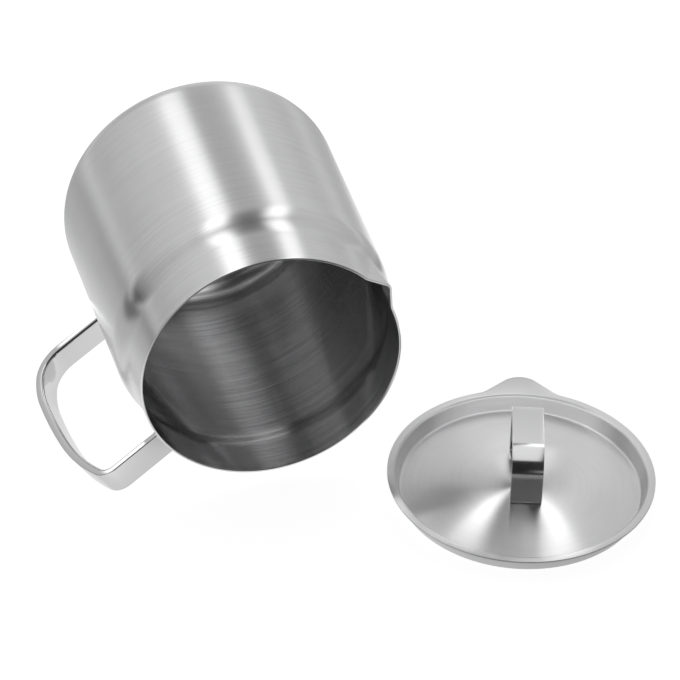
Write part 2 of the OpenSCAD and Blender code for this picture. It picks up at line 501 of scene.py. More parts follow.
@dataclass(frozen=True)
class ShapeTree:
    """A geometry node tree with its inputs' identifiers by name."""

    tree: bpy.types.NodeTree
    ids: dict[str, str]

    def make(self, name: str, mesh: bpy.types.Mesh, inputs: dict[str, object],
             place: Matrix) -> bpy.types.Object:
        """Runs the tree on a mesh and keeps the result as a plain mesh in place.

        Args:
            name: Name of the new piece.
            mesh: What the tree starts from.
            inputs: Values by input name.
            place: Where the piece goes, put into its mesh.

        Returns:
            The new piece.
        """
        holder = link(bpy.data.objects.new(name + "_source", mesh))
        modifier = holder.modifiers.new("build", "NODES")
        modifier.node_group = self.tree
        for key, value in inputs.items():
            modifier[self.ids[key]] = value
        graph = bpy.context.evaluated_depsgraph_get()
        made = bpy.data.meshes.new_from_object(holder.evaluated_get(graph), depsgraph=graph)
        holder.modifiers.clear()
        bpy.data.objects.remove(holder)
        made.name = name
        for slot in reversed(range(len(made.materials))):
            if made.materials[slot] is None:
                made.materials.pop(index=slot)
        made.transform(place)
        made.update()
        return link(bpy.data.objects.new(name, made))


def lip_radius(t: Tree, source: bpy.types.bpy_prop_collection, theta: Value, radius: Value, reach: Value,
               soft: Value) -> bpy.types.NodeSocket:
    """Radius of a turned sheet out of which a lip or tab is pulled.

    The lip has a round tip, and two straight flanks that leave the tip and the sheet at a tangent.

    Args:
        t: The tree to add to.
        source: The tree's inputs.
        theta: Angle from the lip's middle, in radians.
        radius: The sheet's radius without the lip.
        reach: Radius of the lip's tip, or zero where there is no lip.
        soft: Share of the softness between lip and sheet.

    Returns:
        The radius.
    """
    m = t.math
    half, tip = source["Half Angle"], source["Tip Radius"]
    sine, cosine = m("SINE", half), m("COSINE", half)
    away = m("MINIMUM", m("ABSOLUTE", theta), m("SUBTRACT", math.pi / 2, half))
    centre = m("SUBTRACT", reach, tip)
    apex = m("ADD", centre, m("DIVIDE", tip, sine))
    flank = m("DIVIDE", m("MULTIPLY", apex, sine), m("SINE", m("ADD", half, away)))
    across = m("MULTIPLY", centre, m("SINE", away))
    bulge = m("SUBTRACT", m("MULTIPLY", tip, tip), m("MULTIPLY", across, across))
    cap = m("ADD", m("MULTIPLY", centre, m("COSINE", away)), m("SQRT", m("MAXIMUM", bulge, 0.0)))
    touch = m("ARCTAN2", m("MULTIPLY", tip, cosine), m("ADD", centre, m("MULTIPLY", tip, sine)))
    has_lip = m("GREATER_THAN", reach, 0.0)
    pulled = m("MULTIPLY", t.mix(m("LESS_THAN", away, touch), flank, cap), has_lip)
    joined = m("SMOOTH_MAX", radius, pulled, m("MULTIPLY", source["Softness"], soft))
    return t.mix(has_lip, radius, joined)


def lathe_tree() -> ShapeTree:
    """Geometry nodes that turn a side section into a sheet with a pulled lip or tab.

    Returns:
        The tree.
    """
    t, ids = shape_group("lathe_with_lip", (
        ("Segments", "NodeSocketInt"),
        ("Rows", "NodeSocketInt"),
        ("Half Angle", "NodeSocketFloat"),
        ("Tip Radius", "NodeSocketFloat"),
        ("Softness", "NodeSocketFloat"),
        ("Turn", "NodeSocketFloat"),
        ("Outside", "NodeSocketMaterial"),
        ("Inside", "NodeSocketMaterial"),
    ))
    m = t.math
    source = t.add("NodeGroupInput").outputs
    segments, rows = source["Segments"], source["Rows"]
    grid = t.add("GeometryNodeMeshGrid", Vertices_X=m("ADD", segments, 1.0), Vertices_Y=rows)
    index = t.add("GeometryNodeInputIndex").outputs[0]
    column = m("FLOOR", m("DIVIDE", m("ADD", index, 0.5), rows))
    row = m("SUBTRACT", index, m("MULTIPLY", column, rows))
    round_share = m("DIVIDE", column, segments)

    def stored(name: str, kind: str = "FLOAT") -> bpy.types.NodeSocket:
        """Reads an attribute."""
        node = t.add("GeometryNodeInputNamedAttribute", {"data_type": kind}, Name=name)
        return node.outputs["Attribute"]

    def sample(kind: str, value: bpy.types.NodeSocket) -> bpy.types.NodeSocket:
        """Reads a value at the section's point that a grid point belongs to.

        Args:
            kind: The value's data type.
            value: The value, as the section has it.

        Returns:
            The value, as the grid has it.
        """
        node = t.add("GeometryNodeSampleIndex", {"data_type": kind, "domain": "POINT"},
                     Geometry=source["Geometry"], Value=value, Index=row)
        return node.outputs["Value"]

    def store(geometry: bpy.types.NodeSocket, name: str, kind: str, domain: str,
              value: bpy.types.NodeSocket) -> bpy.types.NodeSocket:
        """Writes an attribute.

        Args:
            geometry: What it is written on.
            name: Its name.
            kind: Its data type.
            domain: Where it is kept, such as on points or corners.
            value: What is written.

        Returns:
            The geometry with the attribute.
        """
        node = t.add("GeometryNodeStoreNamedAttribute", {"data_type": kind, "domain": domain},
                     Geometry=geometry, Name=name, Value=value)
        return node.outputs["Geometry"]

    position = sample("FLOAT_VECTOR", t.add("GeometryNodeInputPosition").outputs[0])
    place = t.add("ShaderNodeSeparateXYZ", i0=position).outputs
    reach, soft, along, inside = (sample("FLOAT", stored(n)) for n in ("reach", "soft", "along", "inside"))
    theta = m("MULTIPLY", m("SUBTRACT", round_share, 0.5), math.tau)
    radius = lip_radius(t, source, theta, place["X"], reach, soft)
    turned = m("ADD", theta, source["Turn"])
    spot = t.add("ShaderNodeCombineXYZ", i0=m("MULTIPLY", radius, m("COSINE", turned)),
                 i1=m("MULTIPLY", radius, m("SINE", turned)), i2=place["Z"])
    brush = t.add("ShaderNodeCombineXYZ", i0=along, i1=round_share)
    flow = store(grid.outputs["Mesh"], "spread", "FLOAT_VECTOR", "POINT", brush.outputs[0])
    flow = store(flow, "skin", "FLOAT", "POINT", inside)
    flow = t.add("GeometryNodeSetPosition", Geometry=flow, Position=spot.outputs[0]).outputs["Geometry"]
    flow = store(flow, BRUSH, "FLOAT2", "CORNER", stored("spread", "FLOAT_VECTOR"))
    merge = t.add("GeometryNodeMergeByDistance", Geometry=flow, Distance=SHEET_MERGE)
    flow = t.add("GeometryNodeSetShadeSmooth", Geometry=merge.outputs["Geometry"]).outputs["Geometry"]
    flow = t.add("GeometryNodeRealizeInstances", Geometry=flow).outputs["Geometry"]
    flow = t.add("GeometryNodeSetMaterial", Geometry=flow, Material=source["Outside"]).outputs["Geometry"]
    chosen = m("GREATER_THAN", stored("skin"), INNER_SKIN)
    flow = t.add("GeometryNodeSetMaterial", Geometry=flow, Selection=chosen, Material=source["Inside"])
    t.add("NodeGroupOutput", i0=flow.outputs["Geometry"])
    return ShapeTree(t.tree, ids)


def strap_tree() -> ShapeTree:
    """Geometry nodes that sweep a rectangle with rounded edges along a path.

    Returns:
        The tree.
    """
    t, ids = shape_group("strap_along_path", (
        ("Width", "NodeSocketFloat"),
        ("Thickness", "NodeSocketFloat"),
        ("First Edge", "NodeSocketFloat"),
        ("Second Edge", "NodeSocketFloat"),
        ("Material", "NodeSocketMaterial"),
    ))
    source = t.add("NodeGroupInput").outputs
    path = t.add("GeometryNodeMeshToCurve", Mesh=source["Geometry"]).outputs["Curve"]
    box = t.add("GeometryNodeCurvePrimitiveQuadrilateral", {"mode": "RECTANGLE"},
                Width=source["Width"], Height=source["Thickness"]).outputs["Curve"]
    position = t.add("GeometryNodeInputPosition").outputs[0]
    upper = t.math("GREATER_THAN", t.add("ShaderNodeSeparateXYZ", i0=position).outputs["Y"], 0.0)
    radius = t.mix(upper, source["Second Edge"], source["First Edge"])
    fillet = t.add("GeometryNodeFilletCurve", {"mode": "POLY"}, Curve=box, Radius=radius, Count=EDGE_STEPS)
    swept = t.add("GeometryNodeCurveToMesh", Curve=path, Profile_Curve=fillet.outputs["Curve"],
                  Fill_Caps=True)
    flow = t.add("GeometryNodeSetShadeSmooth", Geometry=swept.outputs["Mesh"]).outputs["Geometry"]
    flow = t.add("GeometryNodeRealizeInstances", Geometry=flow).outputs["Geometry"]
    flow = t.add("GeometryNodeSetMaterial", Geometry=flow, Material=source["Material"])
    t.add("NodeGroupOutput", i0=flow.outputs["Geometry"])
    return ShapeTree(t.tree, ids)


# The pieces


@dataclass(frozen=True)
class Shop:
    """What the jug and the lid are both made with: finishes by name, and the two trees."""

    finishes: dict[str, bpy.types.Material]
    lathe: ShapeTree
    sweep: ShapeTree

    def strap(self, name: str, points: Sequence[Place], width: float, thick: float,
              edges: tuple[float, float], finish: str, place: Matrix) -> bpy.types.Object:
        """Makes a bent strap.

        Args:
            name: Name of the piece.
            points: The strap's middle line, in metres.
            width: Its width.
            thick: Its thickness.
            edges: Radii of its edges on its outer and its inner side.
            finish: Name of its finish.
            place: Where it goes.

        Returns:
            The strap.
        """
        inputs = {
            "Width": width * MM,
            "Thickness": thick * MM,
            "First Edge": edges[0] * MM,
            "Second Edge": edges[1] * MM,
            "Material": self.finishes[finish],
        }
        return self.sweep.make(name, curve_mesh(name, points), inputs, place)


@dataclass(frozen=True)
class Piece:
    """A finished mesh, the body it rides on, the node it stands for and its material slot."""

    mesh: bpy.types.Object
    body: str
    node: str
    slot: Slot

    def hang(self) -> None:
        """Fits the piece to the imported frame."""
        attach(self.mesh, self.body)
        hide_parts(self.node)
        LOG.info("%s: %d faces, on %s", self.node, len(self.mesh.data.polygons), self.body)


@dataclass(frozen=True)
class Arm:
    """The end of one of the handle's arms: a point of its middle line, and its heading in radians."""

    x: float
    z: float
    heading: float

    @property
    def middle(self) -> Vector:
        """The point."""
        return Vector((self.x, 0, self.z))

    @property
    def out(self) -> Vector:
        """The way from the shell along the arm."""
        return Vector((math.cos(self.heading), 0, math.sin(self.heading)))

    @property
    def side(self) -> Vector:
        """The way through the strap's thickness."""
        return Vector((math.sin(self.heading), 0, -math.cos(self.heading)))


@dataclass(frozen=True)
class Jug:
    """The jug: its drawn shell, its strap handle and the two beads that hold the handle."""

    shop: Shop
    base: Vector
    size: JugSize = JugSize()
    strap: StrapSize = StrapSize()

    @property
    def place(self) -> Matrix:
        """Where the jug lies, turned so that its handle is at the left.

        Returns:
            The way from the upright jug, in metres, to the frame.
        """
        lay = Matrix.Rotation(math.pi / 2 + self.size.draft, 4, "X")
        roll = Matrix.Rotation(math.radians(self.strap.roll), 4, "Z")
        return Matrix.Translation(self.base) @ lay @ roll

    def skin(self, inset: float) -> list[Point]:
        """Draws one skin of the shell from its bottom centre to its rim.

        Args:
            inset: How far it lies inside the outer skin.

        Returns:
            The points, as radius and height.
        """
        size = self.size
        bend_w = size.shoulder_r - size.neck_r
        bend_r = (size.shoulder_h ** 2 + bend_w ** 2) / (4 * bend_w)
        bend = math.degrees(math.asin(size.shoulder_h / 2 / bend_r))
        top = size.shoulder_z + size.shoulder_h
        flat_r = size.wall_r - size.corner_r
        lean = math.degrees(size.draft)
        rim = (size.rim_r - inset, size.height - size.rim_edge)
        points = line((0, inset), (flat_r, inset), size.floor_step)
        points += arc(flat_r, size.corner_r, size.corner_r - inset, -90, lean, size.corner_step)
        points += line(points[-1], (size.shoulder_r - inset, size.shoulder_z), size.wall_step)[1:]
        step = size.shoulder_step
        points += arc(size.shoulder_r - bend_r, size.shoulder_z, bend_r - inset, 0, bend, step)[1:]
        points += arc(size.neck_r + bend_r, top, bend_r + inset, 180 + bend, 180, step)[1:]
        points += line((size.neck_r - inset, top), rim, size.neck_step)[1:]
        return points

    def section(self) -> Section:
        """Draws the sheet as one closed section, outside first.

        Returns:
            The section, with the lip's reach on the points of the neck.
        """
        size = self.size
        edge, edge_z = size.rim_edge, size.height - size.rim_edge
        out = Section()
        out.extend(self.skin(0), 0)
        out.extend(arc(size.rim_r - edge, edge_z, edge, 0, 90, size.rim_step), 0)
        out.extend(arc(size.rim_r - size.wall + edge, edge_z, edge, 90, 180, size.rim_step), 0)
        out.extend(reversed(self.skin(size.wall)), 1)
        for i, (r, z) in enumerate(out.points):
            share = (z - size.lip_z) / (size.height - size.lip_z)
            if share > 0 and r > size.neck_r / 2:
                out.reach[i] = r + size.lip_out * share
        return out

    def shell(self) -> bpy.types.Object:
        """Makes the drawn shell with its pouring lip.

        Returns:
            The shell.
        """
        size = self.size
        section = self.section()
        rise = size.lip_soft_rise / (size.height - size.lip_z)
        soft = [min(1.0, max(0.0, (z - size.lip_z) * rise)) for _, z in section.points]
        inputs = {
            "Segments": ROUND_SEGMENTS,
            "Rows": len(section.points),
            "Half Angle": math.radians(size.lip_half_angle),
            "Tip Radius": size.lip_tip_r * MM,
            "Softness": size.lip_softness * MM,
            "Turn": math.radians(size.lip_turn),
            "Outside": self.shop.finishes["shell"],
            "Inside": self.shop.finishes["cavity"],
        }
        return self.shop.lathe.make("jug_shell", section.mesh("jug_shell", soft), inputs, self.place)

    def handle_path(self) -> list[Point]:
        """Draws the middle line of the handle, from its lower arm to its upper one.

        Returns:
            The points, as radius and height.
        """
        s = self.strap
        path = walk(s.start, s.slope, [(s.run, 0.0), *zip(s.radii, s.turns)])
        x, z = path[-1]
        heading = math.radians(s.slope + sum(s.turns))
        length = (s.end_r - x) / math.cos(heading)
        return path + [(s.end_r, z + length * math.sin(heading))]

    def handle(self) -> bpy.types.Object:
        """Makes the strap handle.

        Returns:
            The handle.
        """
        s = self.strap
        points = [(-x * MM, 0, z * MM) for x, z in self.handle_path()]
        edges = (s.outer_edge, s.inner_edge)
        return self.shop.strap("strap_loop", points, s.width, s.thick, edges, "strap", self.place)

    def wall_radius(self, z: float) -> float:
        """Radius of the shell's outside, on the wall and on the neck.

        Args:
            z: Height.

        Returns:
            The radius.
        """
        s = self.size
        if z < s.shoulder_z:
            return s.wall_r - (z - s.corner_r) * math.tan(s.draft)
        share = (s.height - z) / (s.height - s.shoulder_z - s.shoulder_h)
        return s.rim_r + (s.neck_r - s.rim_r) * share

    def on_shell(self, point: Vector, out: Vector, passes: int = 4) -> Vector:
        """Slides a point along an arm until it lies on the shell.

        Args:
            point: The point.
            out: The way of the arm.
            passes: Slides that are made, each closer to the leaning wall.

        Returns:
            The point on the shell.
        """
        for _ in range(passes):
            r = self.wall_radius(point.z)
            gap = math.sqrt(max(r * r - point.y ** 2, 0)) - point.x
            point = point + out * (gap / out.x)
        return point

    def bead_row(self, arm: Arm, centre: Point, turn: float) -> list[Vector]:
        """Draws across a bead, where the strap's edge faces one way.

        Args:
            arm: The arm that the bead goes round.
            centre: Centre of the edge's round, through the thickness and across the width.
            turn: The way that the edge faces there, in radians.

        Returns:
            The points, from inside the strap over the hollow face into the shell.
        """
        s = self.strap
        out = arm.out

        def at(grow: float) -> Vector:
            """Finds the shell's place at some distance from the strap's edge.

            Args:
                grow: The distance, negative inside the strap.

            Returns:
                The place.
            """
            r = s.bead_corner + grow
            spot = arm.middle + arm.side * (centre[0] + r * math.cos(turn))
            return self.on_shell(spot + Vector((0, centre[1] + r * math.sin(turn), 0)), out)

        root, wide = at(0.0), at(s.bead)
        high, peak = root + out * s.bead, wide + out * s.bead
        row = [at(-s.bead_root) - out * s.bead_root]
        for k in range(s.bead_steps + 1):
            a = math.pi / 2 * k / s.bead_steps
            row.append(peak + (high - peak) * math.cos(a) + (wide - peak) * math.sin(a))
        row.append(wide - out * s.bead_root)
        return row

    def bead(self, name: str, arm: Arm) -> bpy.types.Object:
        """Makes a hollow-faced bead round the end of an arm.

        Args:
            name: Name of the piece.
            arm: The arm.

        Returns:
            The bead as one closed ring.
        """
        s = self.strap
        hx, hy = s.thick / 2 - s.bead_corner, s.width / 2 - s.bead_corner
        rows = []
        for centre, first in (((hx, hy), 0), ((-hx, hy), 90), ((-hx, -hy), 180), ((hx, -hy), 270)):
            for i in range(s.bead_corner_steps + 1):
                turn = math.radians(first + 90 * i / s.bead_corner_steps)
                rows.append(self.bead_row(arm, centre, turn))
        top = self.size.height - s.bead_rim_gap
        verts = [Vector((-p.x, p.y, min(p.z, top))) * MM for row in rows for p in row]
        width, count = len(rows[0]), len(rows)
        faces = []
        for i in range(count):
            for k in range(width):
                a, b = i * width + k, i * width + (k + 1) % width
                c, d = (i + 1) % count * width + k, (i + 1) % count * width + (k + 1) % width
                faces.append((a, b, d, c))
        mesh = bpy.data.meshes.new(name)
        mesh.from_pydata(verts, [], faces)
        clean = bmesh.new()
        clean.from_mesh(mesh)
        bmesh.ops.remove_doubles(clean, verts=clean.verts, dist=BEAD_MERGE)
        bmesh.ops.recalc_face_normals(clean, faces=clean.faces)
        clean.to_mesh(mesh)
        clean.free()
        mesh.transform(self.place)
        for face in mesh.polygons:
            face.use_smooth = True
        mesh.materials.append(self.shop.finishes["strap"])
        return link(bpy.data.objects.new(name, mesh))

    def build(self) -> list[Piece]:
        """Makes every piece of the jug.

        Returns:
            The pieces.
        """
        s = self.strap
        path = self.handle_path()
        base_arm = Arm(*path[0], math.radians(s.slope))
        mouth_arm = Arm(*path[-1], math.radians(s.slope + sum(s.turns)) - math.pi)
        return [
            Piece(self.shell(), "jug", "jug_body", Slot.SHELL),
            Piece(self.handle(), "jug", "jug_handle", Slot.STRAP),
            Piece(self.bead("base_bead", base_arm), "jug", "base_arm_weld", Slot.STRAP),
            Piece(self.bead("mouth_bead", mouth_arm), "jug", "mouth_arm_weld", Slot.STRAP),
        ]


@dataclass(frozen=True)
class Lid:
    """The lid: its pressed pan with the tab, and its thin strap handle."""

    shop: Shop
    size: LidSize = LidSize()
    loop: LoopSize = LoopSize()

    @property
    def place(self) -> Matrix:
        """Where the lid lies, from its node's box, turned the way that its tab points.

        Returns:
            The way from the lid's own frame, in metres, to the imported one.
        """
        low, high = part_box("lid_pan")
        reach = self.size.flange_r * MM
        turn = Matrix.Rotation(math.radians(self.size.turn), 4, "Z")
        return Matrix.Translation(Vector((high[0] - reach, low[1] + reach, 0))) @ turn

    def side(self, inset: float) -> list[Point]:
        """Draws one skin of the plug wall, from the flange to the foot of the plug.

        Args:
            inset: How far it lies above the underside.

        Returns:
            The points, as radius and height.
        """
        size = self.size
        low = size.height - size.sheet
        foot_r = size.flange_r - size.flange_w
        lean = math.degrees(math.atan((foot_r - size.plug_r) / low))
        points = arc(foot_r + size.flange_bend, low - size.flange_bend, size.flange_bend + inset, 90,
                     180 - lean, size.bend_step)
        foot = arc(size.plug_r - size.plug_bend, size.plug_bend, size.plug_bend - inset, -lean, -90,
                   size.bend_step)
        return points + line(points[-1], foot[0], size.plug_step)[1:] + foot[1:]

    def floor(self, lift: float) -> list[Point]:
        """Draws one skin of the domed floor, from its middle outwards.

        Args:
            lift: How far it lies above the underside.

        Returns:
            The points, as radius and height.
        """
        r = self.size.dome_r
        edge = math.asin(self.size.floor_r / r)
        turns = [edge * i / self.size.dome_steps for i in range(self.size.dome_steps + 1)]
        return [(r * math.sin(t), r * (math.cos(t) - math.cos(edge)) + lift) for t in turns]

    def section(self) -> Section:
        """Draws the sheet as one closed section: underside, flange edge, then the top side.

        Returns:
            The section, with the tab's reach on the points of the flange.
        """
        size = self.size
        edge_r = size.flange_r - size.edge
        low, high = size.height - size.sheet, size.height
        out = Section()
        out.extend(self.floor(0), 1)
        out.extend(reversed(self.side(0)), 1)
        out.extend([(edge_r, low)], 1)
        out.extend(arc(edge_r, low + size.edge, size.edge, -90, 0, size.edge_step), 0)
        out.extend(arc(edge_r, high - size.edge, size.edge, 0, 90, size.edge_step), 0)
        out.extend(self.side(size.sheet), 0)
        out.extend(reversed(self.floor(size.sheet)), 0)
        start = size.tab_start_r
        for i, (r, z) in enumerate(out.points):
            if r > start and z > low - SAME_PLACE:
                share = (r - start) / (size.flange_r - start)
                out.reach[i] = r + (size.tab_reach - size.flange_r) * share
        return out

    def pan(self) -> bpy.types.Object:
        """Makes the pressed sheet with its tab.

        Returns:
            The pan.
        """
        size = self.size
        section = self.section()
        soft = [1.0 if reach > 0 else 0.0 for reach in section.reach]
        inputs = {
            "Segments": ROUND_SEGMENTS,
            "Rows": len(section.points),
            "Half Angle": math.radians(size.tab_half_angle),
            "Tip Radius": size.tab_tip_r * MM,
            "Softness": size.tab_softness * MM,
            "Turn": 0.0,
            "Outside": self.shop.finishes["lid"],
            "Inside": self.shop.finishes["lid"],
        }
        return self.shop.lathe.make("lid_sheet", section.mesh("lid_sheet", soft), inputs, self.place)

    def floor_z(self, r: float) -> float:
        """Height of the floor's top side at a radius."""
        size = self.size
        return math.sqrt(size.dome_r ** 2 - r ** 2) - (size.dome_r - size.dome) + size.sheet

    def handle(self) -> bpy.types.Object:
        """Makes the thin strap handle with its two feet turned in.

        Returns:
            The handle.
        """
        s = self.loop
        half = s.thick / 2
        low = self.floor_z(s.forward + s.length / 2) + half + s.foot_gap
        front, back, foot = s.front_bend - half, s.back_bend - half, s.foot_bend - half
        rise = s.top - half - low
        turned_in = s.foot - s.foot_bend
        steps = [
            (turned_in, 0.0),
            (foot, -90.0),
            (rise - foot - front, 0.0),
            (front, -90.0),
            (s.length - s.thick - front - back, 0.0),
            (back, -90.0),
            (rise - back - foot, 0.0),
            (foot, -90.0),
            (turned_in, 0.0),
        ]
        path = walk((half - s.length / 2 + foot + turned_in, low), 180.0, steps)
        points = [((x + s.forward) * MM, s.side * MM, z * MM) for x, z in path]
        return self.shop.strap("lid_loop", points, s.width, s.thick, (s.edge, s.edge), "loop", self.place)

    def build(self) -> list[Piece]:
        """Makes every piece of the lid.

        Returns:
            The pieces.
        """
        return [
            Piece(self.pan(), "lid", "lid_pan", Slot.LID),
            Piece(self.handle(), "lid", "lid_handle", Slot.STRAP),
        ]


# Finishes


@dataclass(frozen=True)
class Finish:
    """How one sheet of steel looks.

    A finish with lines is brushed along its spread. One without is polished, with a faint haze.
    """

    name: str
    colour: tuple[float, float, float]
    roughness: float
    stretch: float = 0.0
    lines: float = 0.0
    line_scale: float = 1.0
    mottle: float = 0.0
    bump: float = 0.25
    bump_m: float = 0.00002
    haze: float = 0.02
    haze_scale: float = 140.0

    def material(self, group: bpy.types.NodeTree) -> bpy.types.Material:
        """Makes the procedural material.

        Args:
            group: The shared group that draws brush lines.

        Returns:
            The material.
        """
        material, t = blank_material(self.name)
        shader = t.add("ShaderNodeBsdfPrincipled", Metallic=1.0)
        shader.inputs["Roughness"].default_value = self.roughness
        shader.inputs["Anisotropic"].default_value = self.stretch
        if self.lines:
            self.brush(t, shader, group)
        else:
            self.polish(t, shader)
        t.add("ShaderNodeOutputMaterial", Surface=shader.outputs[0])
        return material

    def brush(self, t: Tree, shader: bpy.types.Node, group: bpy.types.NodeTree) -> None:
        """Adds fine lines round the turned sheet, in colour, height and gloss.

        Args:
            t: The material's tree.
            shader: Its shader.
            group: The shared group that draws the lines.
        """
        spread = t.add("ShaderNodeUVMap", {"uv_map": BRUSH})
        lines = t.add("ShaderNodeGroup", {"node_tree": group})
        t.set(lines.inputs["Spread"], spread.outputs["UV"])
        lines.inputs["Lines"].default_value = self.line_scale
        fine = t.math("MULTIPLY", t.math("SUBTRACT", lines.outputs["Height"], 0.5), self.lines * 2)
        slow = t.math("MULTIPLY", t.math("SUBTRACT", lines.outputs["Mottle"], 0.5), self.mottle * 2)
        scale = t.math("ADD", t.math("ADD", fine, slow), 1.0)
        tint = t.add("ShaderNodeVectorMath", {"operation": "SCALE"}, i0=self.colour, Scale=scale)
        t.set(shader.inputs["Base Color"], tint.outputs[0])
        tangent = t.add("ShaderNodeTangent", {"direction_type": "UV_MAP", "uv_map": BRUSH})
        t.set(shader.inputs["Tangent"], tangent.outputs[0])
        bump = t.add("ShaderNodeBump", Height=lines.outputs["Height"])
        bump.inputs["Strength"].default_value = self.bump
        bump.inputs["Distance"].default_value = self.bump_m
        t.set(shader.inputs["Normal"], bump.outputs[0])

    def polish(self, t: Tree, shader: bpy.types.Node) -> None:
        """Adds a plain colour and a faint haze.

        Args:
            t: The material's tree.
            shader: Its shader.
        """
        place = t.add("ShaderNodeTexCoord").outputs["Object"]
        cloud = t.add("ShaderNodeTexNoise", Vector=place, Scale=self.haze_scale, Detail=2.0)
        rough = t.math("ADD", self.roughness, t.math("MULTIPLY", cloud.outputs["Fac"], self.haze))
        t.set(shader.inputs["Roughness"], rough)
        shader.inputs["Base Color"].default_value = (*self.colour, 1)


FINISHES = {
    "shell": Finish("brushed_steel", (0.75, 0.75, 0.755), roughness=0.27, stretch=0.80, lines=0.09,
                    line_scale=1500.0, mottle=0.03),
    # The inside's darker colour is partly the steel's own and partly painted shade for the jug's hollow
    "cavity": Finish("inner_steel_and_painted_shade", (0.67, 0.67, 0.675), roughness=0.19, stretch=0.90, lines=0.50,
                     line_scale=1700.0, mottle=0.05),
    "lid": Finish("spun_steel", (0.68, 0.68, 0.685), roughness=0.31, stretch=0.97, lines=0.06,
                  line_scale=900.0, mottle=0.02),
    "strap": Finish("polished_steel", (0.62, 0.62, 0.625), roughness=0.06),
    "loop": Finish("strip_steel", (0.74, 0.74, 0.745), roughness=0.16),
}


def brush_group(mottle_scale: float = 60.0) -> bpy.types.NodeTree:
    """Shared shader group: fine lines that run round a turned sheet, and a slow mottle.

    Args:
        mottle_scale: Patches of the mottle in a metre along the section.

    Returns:
        The group.
    """
    group = bpy.data.node_groups.new("brush_lines", "ShaderNodeTree")
    for name, kind in (("Spread", "NodeSocketVector"), ("Lines", "NodeSocketFloat")):
        group.interface.new_socket(name, in_out="INPUT", socket_type=kind)
    for name in ("Height", "Mottle"):
        group.interface.new_socket(name, in_out="OUTPUT", socket_type="NodeSocketFloat")
    t = Tree(group)
    source = t.add("NodeGroupInput").outputs
    parts = t.add("ShaderNodeSeparateXYZ", i0=source["Spread"]).outputs
    turn = t.math("MULTIPLY", parts["Y"], math.tau)
    cosine, sine = t.math("COSINE", turn), t.math("SINE", turn)

    def noise(scale: Value, around: float, detail: float) -> bpy.types.NodeSocket:
        """Noise that closes on itself round the sheet.

        Args:
            scale: Patches in a metre along the section.
            around: How much it changes round the sheet.
            detail: Finer layers of the noise.

        Returns:
            The noise.
        """
        spot = t.add("ShaderNodeCombineXYZ", i0=t.math("MULTIPLY", parts["X"], scale),
                     i1=t.math("MULTIPLY", cosine, around), i2=t.math("MULTIPLY", sine, around))
        node = t.add("ShaderNodeTexNoise", Vector=spot.outputs[0], Scale=1.0, Detail=detail, Roughness=0.6)
        return node.outputs["Fac"]

    fine = noise(source["Lines"], around=1.5, detail=3.0)
    slow = noise(mottle_scale, around=3.0, detail=2.0)
    t.add("NodeGroupOutput", i0=fine, i1=slow)
    return group


# The studio


@dataclass(frozen=True)
class Strip:
    """A soft lamp, or a bright or dark flag, that the camera does not see.

    It runs from start to end. Over edge, a share of its half width, it fades out on each side of
    its outline. First and last are its strengths at its two ends, and taper is its width at the
    start as a share of that at the end. It fades in up to fade_in and out from fade_out, as shares
    of its length.
    """

    start: Place
    end: Place
    width: float
    edge: float
    first: float
    last: float
    facing: Place = (0.0, 0.0, 1.0)
    taper: float = 1.0
    fade_in: float = 0.08
    fade_out: float = 0.85

    def hang(self, name: str, lights_floor: bool) -> None:
        """Makes the strip as a glowing sheet.

        Args:
            name: Name of the new object.
            lights_floor: Whether matt surfaces are lit by it too.
        """
        a, b = Vector(self.start), Vector(self.end)
        side = (b - a).cross(Vector(self.facing)).normalized() * self.width / 2 * (1 + self.edge)
        mesh = bpy.data.meshes.new(name)
        mesh.from_pydata([a - side, a + side, b + side, b - side], [], [(0, 3, 2, 1)])
        layer = mesh.uv_layers.new(name="lamp")
        corners = ((-1, 0), (1, 0), (1, 1), (-1, 1))
        for loop in mesh.loops:
            layer.data[loop.index].uv = corners[loop.vertex_index]
        material, t = blank_material(name)
        spread = t.add("ShaderNodeUVMap", {"uv_map": "lamp"}).outputs["UV"]
        parts = t.add("ShaderNodeSeparateXYZ", i0=spread).outputs
        wide = t.math("MULTIPLY_ADD", parts["Y"], 1 - self.taper, self.taper)
        off = t.math("DIVIDE", t.math("ABSOLUTE", parts["X"]), wide)
        across = t.ramp(off, 1 - 2 * self.edge / (1 + self.edge), 1, 1, 0)
        ends = t.math("MULTIPLY", t.ramp(parts["Y"], 0, self.fade_in), t.ramp(parts["Y"], 1, self.fade_out))
        value = t.ramp(parts["Y"], 0, 1, self.first, self.last)
        glow = t.add("ShaderNodeEmission", Strength=value)
        clear = t.add("ShaderNodeBsdfTransparent")
        mixed = t.add("ShaderNodeMixShader", i0=t.math("MULTIPLY", across, ends), i1=clear.outputs[0],
                      i2=glow.outputs[0])
        t.add("ShaderNodeOutputMaterial", Surface=mixed.outputs[0])
        mesh.materials.append(material)
        obj = link(bpy.data.objects.new(name, mesh))
        obj.visible_camera = False
        obj.visible_shadow = False
        obj.visible_diffuse = lights_floor


@dataclass(frozen=True)
class Patch:
    """A soft-edged quarter of the floor: where it starts and is full along X and Y, and its strength."""

    x: Point
    y: Point
    strength: float


@dataclass(frozen=True)
class Spot:
    """A round glow on the floor, full up to near and gone past far, with its strength."""

    centre: Place
    near: float
    far: float
    strength: float


# The way that the flags for the arms' side faces look
ARM_SIDE = (-0.56, 0.69, 0.45)


